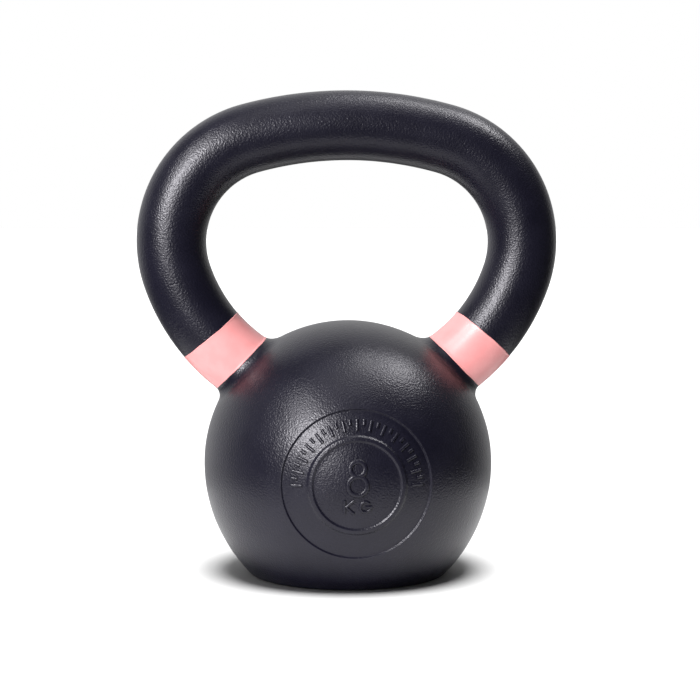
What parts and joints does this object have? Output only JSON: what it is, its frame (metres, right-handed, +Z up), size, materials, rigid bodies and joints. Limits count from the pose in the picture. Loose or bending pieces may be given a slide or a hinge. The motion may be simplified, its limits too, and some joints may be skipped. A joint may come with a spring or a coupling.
{
  "type": "kettlebell",
  "caption": "Cast iron kettlebell with a round bell, a closed arched handle for both hands, a flat base, a black powder coat and coloured bands at the feet of the handle.",
  "frame": {"origin": "centre of the flat base, on the surface that the kettlebell stands on", "axes": "+Z up through the bell and the middle of the grip; +X to the right along the grip, seen from the front; the front of the bell, with the cast medallion, faces -Y"},
  "size_m": [0.1764, 0.1212, 0.2028],
  "materials": {
    "cast_iron": "sand cast, ground flat and left bare on the base",
    "black_coat": "satin powder coat with a fine orange-peel grain",
    "pink_band": "satin-gloss enamel over the casting's grain"
  },
  "bodies": {
    "root": {"iron_casting": "cast_iron", "bell_coat": "black_coat", "handle_coat": "black_coat", "left_band": "pink_band", "right_band": "pink_band"}
  },
  "joints": []
}
